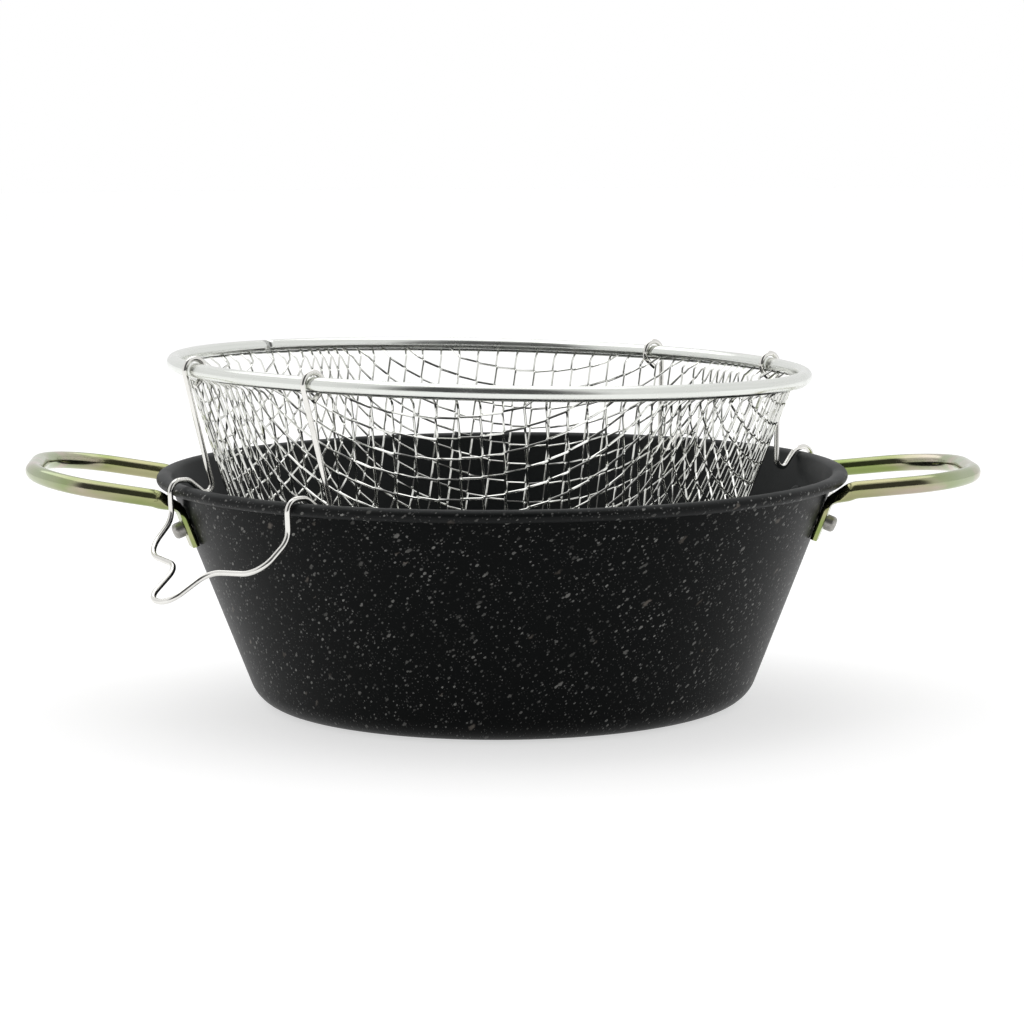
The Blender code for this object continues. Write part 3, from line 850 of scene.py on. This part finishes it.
def bend_points(before, corner, after, normal, side):
    """A short curve round a corner. It starts on one side of the net and ends on the other."""
    start = corner + (before - corner).normalized() * BEND_REACH
    end = corner + (after - corner).normalized() * BEND_REACH
    points = []
    for i in range(BEND_STEPS):
        share = i / (BEND_STEPS - 1)
        point = start * (1 - share) ** 2 + corner * 2 * share * (1 - share) + end * share**2
        points.append(point + normal * side * cos(pi * share))
    return points


def zigzag(number):
    """Points along one wire, in runs that are broken where it leaves the net."""
    keys = [((i + 1) // 2, number - i // 2) for i in range(-4 * link_reach, 4 * link_reach)]
    runs, corners = [], []
    for before, key, after in zip(keys, keys[1:], keys[2:]):
        if before in knots and key in knots and after in knots:
            side = -LINK_LIFT if before[1] == key[1] else LINK_LIFT
            corners.append((corner_point(before, key, after), net_normal(key), side))
        elif corners:
            runs.append(corners)
            corners = []
    runs.append(corners)
    bends = []
    for corners in runs:
        run = []
        for (before, _, _), (corner, normal, side), (after, _, _) in zip(
            corners, corners[1:], corners[2:]
        ):
            run += bend_points(before, corner, after, normal, side)
        bends.append(run)
    return bends


def below_rim(run):
    """Cuts a run of points where it crosses the height of the net's upper bend."""
    pieces, piece = [], []
    for first, last in zip(run, run[1:]):
        if first.z < lean_height:
            piece.append(first)
        if (first.z < lean_height) != (last.z < lean_height):
            piece.append(first.lerp(last, (lean_height - first.z) / (last.z - first.z)))
            if first.z < lean_height:
                pieces.append(piece)
                piece = []
    return [piece for piece in pieces if len(piece) > SHORTEST_PIECE]


def led_into_tube(path):
    """Leads both ends of a wire outward from the net's upper bend into the tube's slot."""
    for end, inner in ((0, 1), (-1, -2)):
        last = path[end]
        outward = Vector((last.x, last.y, 0)).normalized()
        lean = last - path[inner]
        across = Vector((-outward.y, outward.x, 0))
        aside = lean.dot(across) / max(lean.z, LEAST_RISE * lean.length)
        aside = max(-MOST_ASIDE, min(MOST_ASIDE, aside)) * -lean_height
        goal = (outward * TUBE_RING_RADIUS + across * aside).normalized()
        goal = goal * (TUBE_RING_RADIUS - TUBE_ENTRY) - Vector((0, 0, TUBE_DROP))
        lead = [last.lerp(goal, share) for share in (0.3, 0.65, 1)]
        path = path + lead if end else lead[::-1] + path
    return path


link_reach = max(warp for warp, _ in knots)
net = bmesh.new()
wire_count = 0
for number in range(-2 * link_reach, 2 * link_reach):
    for run in zigzag(number):
        for path in below_rim(run):
            wire = swept(led_into_tube(path), WIRE_RADIUS, WIRE_SIDES)
            held = bpy.data.meshes.new("wire")
            wire.to_mesh(held)
            wire.free()
            net.from_mesh(held)
            bpy.data.meshes.remove(held)
            wire_count += 1
bmesh.ops.transform(net, matrix=basket_place, verts=net.verts)
print("net wires:", wire_count, "faces:", len(net.faces))
make_piece("linked_net", net, "basket", "basket_mesh", "plated_wire", net_wire_finish)

# %% [markdown]
# ## The hangers
#
# One wire makes a hanger. A curl at each end hooks over the rim's tube as a loose hinge, two legs
# hang down inside the pot, jog out over its rim, and meet outside in a bow for the fingers. The
# bends are listed for one half and mirrored. The two hangers were bent by hand and differ a
# little: the right one's legs are shorter and lean.

# %% Hangers
HANGER_WIRE_RADIUS = 1.1 * MM
HANGER_SIDES = 16
HANGER_HALF_CHORD = 36.4 * MM
CURL_RADIUS = 4.7 * MM
CURL_END = radians(225)
TAIL_STRAIGHT = 4.3 * MM
CURL_STEPS = 30
LEG_LEAN = radians(15.2)
HANGER_PLACES = {
    # azimuth, swing at rest, legs shorter by, lean
    "left": (radians(222.2), radians(-1.6), 0, 0),
    "right": (radians(39.5), radians(9.5), 5.7 * MM, 0.15),
}
HANGER_BENDS = (
    # along the chord, outward, up from the hinge line, and the bend's radius
    ((36.4, -10.3, -53.0), 3.0),
    ((36.4, 3.6, -42.5), 5.0),
    ((36.4, 12.6, -42.4), 4.7),
    ((36.2, 11.7, -57.4), 9.0),
    ((34.8, 24.8, -69.4), 11.0),
    ((9.8, 29.0, -71.0), 9.0),
    ((6.2, 45.6, -81.6), 7.0),
)


def hanger_path(shorter, lean):
    """Centre line of a hanger in its hinge's frame: X along the chord, Y outward, Z up."""
    lifted = Vector((0, sin(LEG_LEAN), cos(LEG_LEAN))) * shorter
    half = [Vector((HANGER_HALF_CHORD, CURL_RADIUS * cos(LEG_LEAN), -CURL_RADIUS * sin(LEG_LEAN)))]
    half += [Vector(bend) * MM + lifted for bend, _ in HANGER_BENDS]
    other = [Vector((-p.x, p.y, p.z)) for p in reversed(half)]
    radii = [radius * MM for _, radius in HANGER_BENDS]
    middle = rounded_path(half + other, radii + radii[::-1])
    middle = [Vector((p.x - lean * p.z, p.y, p.z)) for p in middle]
    turns = [CURL_END + (-LEG_LEAN - CURL_END) * i / CURL_STEPS for i in range(CURL_STEPS)]
    curl_points = [
        Vector((HANGER_HALF_CHORD, CURL_RADIUS * cos(turn), CURL_RADIUS * sin(turn)))
        for turn in turns
    ]
    tail = Vector((0, -sin(CURL_END), cos(CURL_END))) * TAIL_STRAIGHT
    curl_points = [curl_points[0] + tail] + curl_points
    return curl_points + middle + [Vector((-p.x, p.y, p.z)) for p in reversed(curl_points)]


chord_distance = sqrt(TUBE_RING_RADIUS**2 - HANGER_HALF_CHORD**2)
for side, (azimuth, swing, shorter, lean) in HANGER_PLACES.items():
    hinge = (
        basket_place
        @ Matrix.Rotation(azimuth - pi / 2, 4, "Z")
        @ Matrix.Translation((0, chord_distance, 0))
        @ Matrix.Rotation(swing, 4, "X")
    )
    hanger = swept(hanger_path(shorter, lean), HANGER_WIRE_RADIUS, HANGER_SIDES)
    bmesh.ops.transform(hanger, matrix=hinge, verts=hanger.verts)
    make_piece(
        side + "_hanger_wire", hanger, side + "_hanger_body", side + "_hanger", "hanger_wire",
        hanger_finish,
    )

# %% [markdown]
# ## Table and light
#
# The pot stands on a table that runs into a white backdrop without an edge. The table is a wide
# pale disc with a little light of its own for camera rays, so that it comes out white and still
# shows the pot's shadow.

# %% Table
TABLE_GLOW = 0.6

table_mesh = bmesh.new()
bmesh.ops.create_circle(table_mesh, cap_ends=True, segments=96, radius=6)
table_data = bpy.data.meshes.new("table")
table_mesh.to_mesh(table_data)
table_mesh.free()
table = bpy.data.objects.new("table", table_data)
bpy.context.scene.collection.objects.link(table)
table_finish = make_finish("white table", (0.56, 0.56, 0.56), 0, 0.9, 0)
rays = add_node(table_finish, "LightPath").outputs
seen = math_node(table_finish, "MAXIMUM", rays["Is Camera Ray"], rays["Is Glossy Ray"])
seen = math_node(table_finish, "MAXIMUM", seen, rays["Is Transmission Ray"])
glow = math_node(table_finish, "MULTIPLY", seen, TABLE_GLOW)
table_shader = table_finish.node_tree.nodes["Principled BSDF"]
table_shader.inputs["Emission Color"].default_value = (1, 1, 1, 1)
join_to_shader(table_finish, Emission_Strength=glow)
table_data.materials.append(table_finish)

# %% [markdown]
# ### The light tent
#
# The photo was taken in a light tent: white all round, dark only where its front stands open
# towards the camera. The dark bands on the bent rods show how tall that opening is: they reach
# from the horizon to about 70° up. A World colour that depends on the direction does the same, and
# that gives bright metal its dark lines. Camera rays see plain white.

# %% World
OPENING_SIDES = (cos(radians(46)), cos(radians(27)))
LINTEL = (sin(radians(74)), sin(radians(64)))
TENT_LIGHT = 0.86
OPENING_LIGHT = 0.08

world = bpy.data.worlds.new("light tent")
bpy.context.scene.world = world
world.use_nodes = True
background = world.node_tree.nodes["Background"]
directions = axes_of(world, add_node(world, "TexCoord").outputs["Generated"])
east, north, height = (directions[axis] for axis in "XYZ")
flat = add_node(world, "CombineXYZ", {"X": east, "Y": north}).outputs[0]
south = math_node(world, "MULTIPLY", north, -1)
towards_camera = math_node(world, "DIVIDE", south, length_of(world, flat))
in_opening = ramp(world, towards_camera, *OPENING_SIDES, interpolation_type="SMOOTHSTEP")
under_lintel = ramp(world, height, *LINTEL, interpolation_type="SMOOTHSTEP")
dark = math_node(world, "MULTIPLY", in_opening, under_lintel)
tent = ramp(world, dark, 0, 1, TENT_LIGHT, OPENING_LIGHT)
camera_ray = add_node(world, "LightPath").outputs["Is Camera Ray"]
strength = math_node(world, "MAXIMUM", tent, camera_ray)
world.node_tree.links.new(strength, background.inputs["Strength"])
background.inputs["Color"].default_value = (1, 1, 1, 1)
print("tent light:", TENT_LIGHT, "and in its opening:", OPENING_LIGHT)

# %% [markdown]
# ### The lamp
#
# A large soft lamp over the back of the tent casts the pot's shadow on the table.

# %% Lamp
LAMP_PLACE = Vector((-0.2, 0.5, 1.5))
LAMP_TARGET = Vector((0, 0, 0.05))
LAMP_SIZE = 1.6
LAMP_POWER = 7

lamp_data = bpy.data.lights.new("tent top", "AREA")
lamp_data.size = LAMP_SIZE
lamp_data.energy = LAMP_POWER
lamp = bpy.data.objects.new("tent top", lamp_data)
lamp.location = LAMP_PLACE
lamp.rotation_euler = (LAMP_TARGET - LAMP_PLACE).to_track_quat("-Z", "Y").to_euler()
bpy.context.scene.collection.objects.link(lamp)
print("tent top:", LAMP_SIZE, "m across,", LAMP_POWER, "W")

# %% [markdown]
# ## Camera
#
# The view was found by fitting the rim, the wall and the basket's rim to the photo. It is a long
# lens from 1.4 m away, a little above the rim.

# %% Camera
LENS = 121.79
CAMERA_PLACE = (0, -1.4, 0.25667)
CAMERA_YAW = -0.0028
CAMERA_PITCH = -0.1279
CAMERA_ROLL = -0.0052

camera_data = bpy.data.cameras.new("camera")
camera_data.lens = LENS
camera_data.sensor_width = 36
camera_data.clip_end = 50
camera = bpy.data.objects.new("camera", camera_data)
camera.matrix_world = (
    Matrix.Translation(CAMERA_PLACE)
    @ Matrix.Rotation(CAMERA_YAW, 4, "Z")
    @ Matrix.Rotation(pi / 2 + CAMERA_PITCH, 4, "X")
    @ Matrix.Rotation(CAMERA_ROLL, 4, "Z")
)
bpy.context.scene.collection.objects.link(camera)
bpy.context.scene.camera = camera
bpy.context.scene.view_settings.view_transform = "Standard"
print("camera:", LENS, "mm lens,", -CAMERA_PLACE[1], "m in front of the pot")
